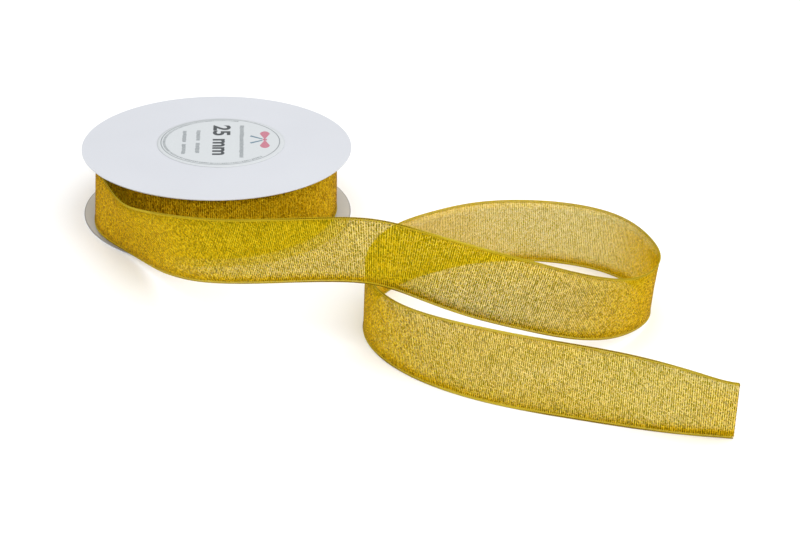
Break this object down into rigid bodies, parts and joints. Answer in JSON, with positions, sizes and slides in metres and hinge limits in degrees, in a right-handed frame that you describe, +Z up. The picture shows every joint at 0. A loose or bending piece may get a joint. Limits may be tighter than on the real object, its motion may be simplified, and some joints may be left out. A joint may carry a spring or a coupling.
{
  "type": "ribbon spool",
  "caption": "Card reel of sheer metallic gold ribbon lying flat, its free end paid out over itself in one loop and cut square; the reel turns on its axis.",
  "frame": {"origin": "on the reel's axis at the underside of its lower flange, on the surface that it lies on", "axes": "+Z up along the reel's axis; the free ribbon runs out towards +X and -Y"},
  "size_m": [0.235, 0.2316, 0.0509],
  "materials": {
    "flange_card": "smooth white coated card, satin",
    "core_board": "raw grey-brown tube board, matt",
    "label_paper": "uncoated white paper with plain dark print",
    "adhesive_tape": "cloudy adhesive tape",
    "gold_ribbon": "sheer woven ribbon with metallic gold weft and dense selvedges"
  },
  "bodies": {
    "free_ribbon": {"ribbon_last_turn": "gold_ribbon", "ribbon_run_out": "gold_ribbon", "ribbon_crossover": "gold_ribbon", "ribbon_loop_front": "gold_ribbon", "ribbon_right_turn": "gold_ribbon", "ribbon_loop_back": "gold_ribbon", "ribbon_left_turn": "gold_ribbon", "ribbon_end_run": "gold_ribbon"},
    "spool": {"lower_flange": "flange_card", "upper_flange": "flange_card", "core_tube": "core_board", "top_label": "label_paper", "start_tape": "adhesive_tape", "ribbon_winding": "gold_ribbon"}
  },
  "joints": [
    {"name": "spool_spin", "type": "hinge", "parent": "free_ribbon", "child": "spool", "pos_m": [0, 0, 0], "axis": [0, 0, 1], "continuous": true}
  ]
}
